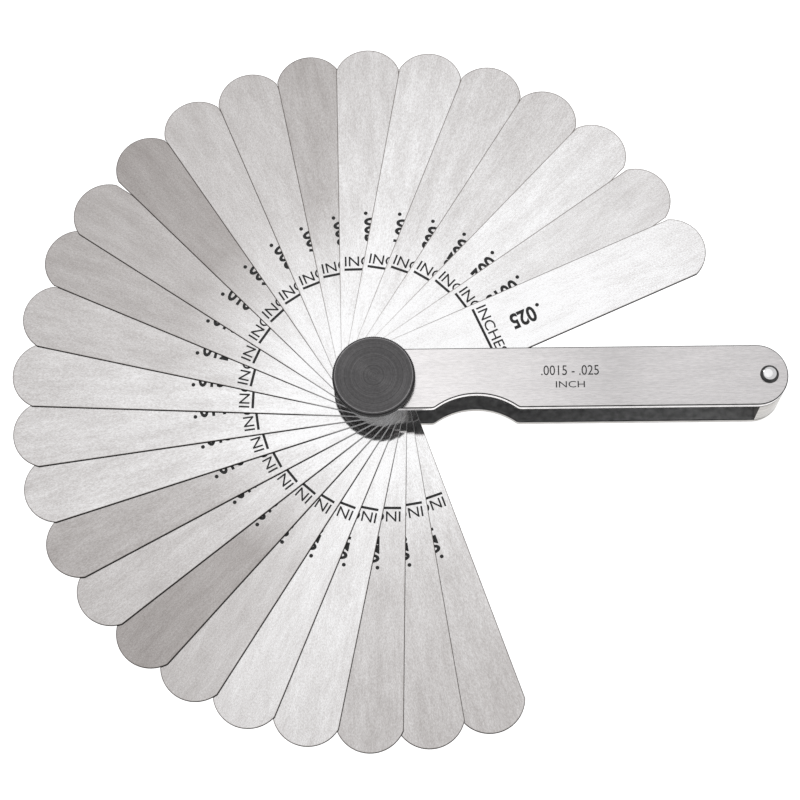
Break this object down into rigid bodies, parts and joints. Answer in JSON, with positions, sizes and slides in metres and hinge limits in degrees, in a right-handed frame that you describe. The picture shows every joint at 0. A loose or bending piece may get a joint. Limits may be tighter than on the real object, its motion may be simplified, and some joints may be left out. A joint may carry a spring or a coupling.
{
  "type": "feeler gauge",
  "caption": "Leaf feeler gauge with steel thickness blades fanned out from a flat two-plate case and a round knurled lock screw.",
  "frame": {"origin": "on the pivot's axis, at the underside of the case", "axes": "+X from the pivot to the riveted end of the case, +Z out of the lock screw's side, -Y towards the thumb notch"},
  "size_m": [0.1509, 0.142, 0.0142],
  "materials": {
    "ground_steel": "ground along the blade's length",
    "plate_steel": "brushed along the case's length",
    "polished_steel": "polished",
    "black_oxide": "black oxide, fine turned face and knurled rim"
  },
  "bodies": {
    "case": {"side_plate_top": "plate_steel", "side_plate_bottom": "plate_steel", "end_spacer": "plate_steel", "end_rivet": "polished_steel", "pivot_post": "polished_steel"},
    "lock_washer": {"lock_washer": "polished_steel"},
    "lock_screw": {"lock_screw": "black_oxide"},
    "blade_0250": {"blade_0250": "ground_steel"},
    "blade_0015": {"blade_0015": "ground_steel"},
    "blade_0020": {"blade_0020": "ground_steel"},
    "blade_0025": {"blade_0025": "ground_steel"},
    "blade_0030": {"blade_0030": "ground_steel"},
    "blade_0040": {"blade_0040": "ground_steel"},
    "blade_0050": {"blade_0050": "ground_steel"},
    "blade_0060": {"blade_0060": "ground_steel"},
    "blade_0070": {"blade_0070": "ground_steel"},
    "blade_0080": {"blade_0080": "ground_steel"},
    "blade_0090": {"blade_0090": "ground_steel"},
    "blade_0100": {"blade_0100": "ground_steel"},
    "blade_0110": {"blade_0110": "ground_steel"},
    "blade_0120": {"blade_0120": "ground_steel"},
    "blade_0130": {"blade_0130": "ground_steel"},
    "blade_0140": {"blade_0140": "ground_steel"},
    "blade_0150": {"blade_0150": "ground_steel"},
    "blade_0160": {"blade_0160": "ground_steel"},
    "blade_0170": {"blade_0170": "ground_steel"},
    "blade_0180": {"blade_0180": "ground_steel"},
    "blade_0190": {"blade_0190": "ground_steel"},
    "blade_0200": {"blade_0200": "ground_steel"},
    "blade_0210": {"blade_0210": "ground_steel"},
    "blade_0220": {"blade_0220": "ground_steel"},
    "blade_0230": {"blade_0230": "ground_steel"},
    "blade_0240": {"blade_0240": "ground_steel"}
  },
  "joints": [
    {"name": "lock_lift", "type": "slide", "parent": "case", "child": "lock_washer", "axis": [0, 0, 1], "range_m": [0, 0.0008]},
    {"name": "lock_turn", "type": "hinge", "parent": "lock_washer", "child": "lock_screw", "pos_m": [0, 0, 0], "axis": [0, 0, 1], "range_deg": [0, 360]},
    {"name": "blade_0250_turn", "type": "hinge", "parent": "case", "child": "blade_0250", "pos_m": [0, 0, 0], "axis": [0, 0, 1], "range_deg": [-24, 336]},
    {"name": "blade_0015_turn", "type": "hinge", "parent": "case", "child": "blade_0015", "pos_m": [0, 0, 0], "axis": [0, 0, 1], "range_deg": [-35.5, 324.5]},
    {"name": "blade_0020_turn", "type": "hinge", "parent": "case", "child": "blade_0020", "pos_m": [0, 0, 0], "axis": [0, 0, 1], "range_deg": [-47, 313]},
    {"name": "blade_0025_turn", "type": "hinge", "parent": "case", "child": "blade_0025", "pos_m": [0, 0, 0], "axis": [0, 0, 1], "range_deg": [-58, 302]},
    {"name": "blade_0030_turn", "type": "hinge", "parent": "case", "child": "blade_0030", "pos_m": [0, 0, 0], "axis": [0, 0, 1], "range_deg": [-69, 291]},
    {"name": "blade_0040_turn", "type": "hinge", "parent": "case", "child": "blade_0040", "pos_m": [0, 0, 0], "axis": [0, 0, 1], "range_deg": [-80, 280]},
    {"name": "blade_0050_turn", "type": "hinge", "parent": "case", "child": "blade_0050", "pos_m": [0, 0, 0], "axis": [0, 0, 1], "range_deg": [-91, 269]},
    {"name": "blade_0060_turn", "type": "hinge", "parent": "case", "child": "blade_0060", "pos_m": [0, 0, 0], "axis": [0, 0, 1], "range_deg": [-101.5, 258.5]},
    {"name": "blade_0070_turn", "type": "hinge", "parent": "case", "child": "blade_0070", "pos_m": [0, 0, 0], "axis": [0, 0, 1], "range_deg": [-112.5, 247.5]},
    {"name": "blade_0080_turn", "type": "hinge", "parent": "case", "child": "blade_0080", "pos_m": [0, 0, 0], "axis": [0, 0, 1], "range_deg": [-123.5, 236.5]},
    {"name": "blade_0090_turn", "type": "hinge", "parent": "case", "child": "blade_0090", "pos_m": [0, 0, 0], "axis": [0, 0, 1], "range_deg": [-134.5, 225.5]},
    {"name": "blade_0100_turn", "type": "hinge", "parent": "case", "child": "blade_0100", "pos_m": [0, 0, 0], "axis": [0, 0, 1], "range_deg": [-146, 214]},
    {"name": "blade_0110_turn", "type": "hinge", "parent": "case", "child": "blade_0110", "pos_m": [0, 0, 0], "axis": [0, 0, 1], "range_deg": [-156, 204]},
    {"name": "blade_0120_turn", "type": "hinge", "parent": "case", "child": "blade_0120", "pos_m": [0, 0, 0], "axis": [0, 0, 1], "range_deg": [-167, 193]},
    {"name": "blade_0130_turn", "type": "hinge", "parent": "case", "child": "blade_0130", "pos_m": [0, 0, 0], "axis": [0, 0, 1], "range_deg": [-177.5, 182.5]},
    {"name": "blade_0140_turn", "type": "hinge", "parent": "case", "child": "blade_0140", "pos_m": [0, 0, 0], "axis": [0, 0, 1], "range_deg": [-188, 172]},
    {"name": "blade_0150_turn", "type": "hinge", "parent": "case", "child": "blade_0150", "pos_m": [0, 0, 0], "axis": [0, 0, 1], "range_deg": [-198, 162]},
    {"name": "blade_0160_turn", "type": "hinge", "parent": "case", "child": "blade_0160", "pos_m": [0, 0, 0], "axis": [0, 0, 1], "range_deg": [-208.5, 151.5]},
    {"name": "blade_0170_turn", "type": "hinge", "parent": "case", "child": "blade_0170", "pos_m": [0, 0, 0], "axis": [0, 0, 1], "range_deg": [-218.5, 141.5]},
    {"name": "blade_0180_turn", "type": "hinge", "parent": "case", "child": "blade_0180", "pos_m": [0, 0, 0], "axis": [0, 0, 1], "range_deg": [-228.5, 131.5]},
    {"name": "blade_0190_turn", "type": "hinge", "parent": "case", "child": "blade_0190", "pos_m": [0, 0, 0], "axis": [0, 0, 1], "range_deg": [-238, 122]},
    {"name": "blade_0200_turn", "type": "hinge", "parent": "case", "child": "blade_0200", "pos_m": [0, 0, 0], "axis": [0, 0, 1], "range_deg": [-248, 112]},
    {"name": "blade_0210_turn", "type": "hinge", "parent": "case", "child": "blade_0210", "pos_m": [0, 0, 0], "axis": [0, 0, 1], "range_deg": [-258.5, 101.5]},
    {"name": "blade_0220_turn", "type": "hinge", "parent": "case", "child": "blade_0220", "pos_m": [0, 0, 0], "axis": [0, 0, 1], "range_deg": [-269, 91]},
    {"name": "blade_0230_turn", "type": "hinge", "parent": "case", "child": "blade_0230", "pos_m": [0, 0, 0], "axis": [0, 0, 1], "range_deg": [-279, 81]},
    {"name": "blade_0240_turn", "type": "hinge", "parent": "case", "child": "blade_0240", "pos_m": [0, 0, 0], "axis": [0, 0, 1], "range_deg": [-289.5, 70.5]}
  ],
  "couplings": [
    {"joint": "lock_lift", "follows": "lock_turn", "m_per_rad": 0.00012633}
  ]
}
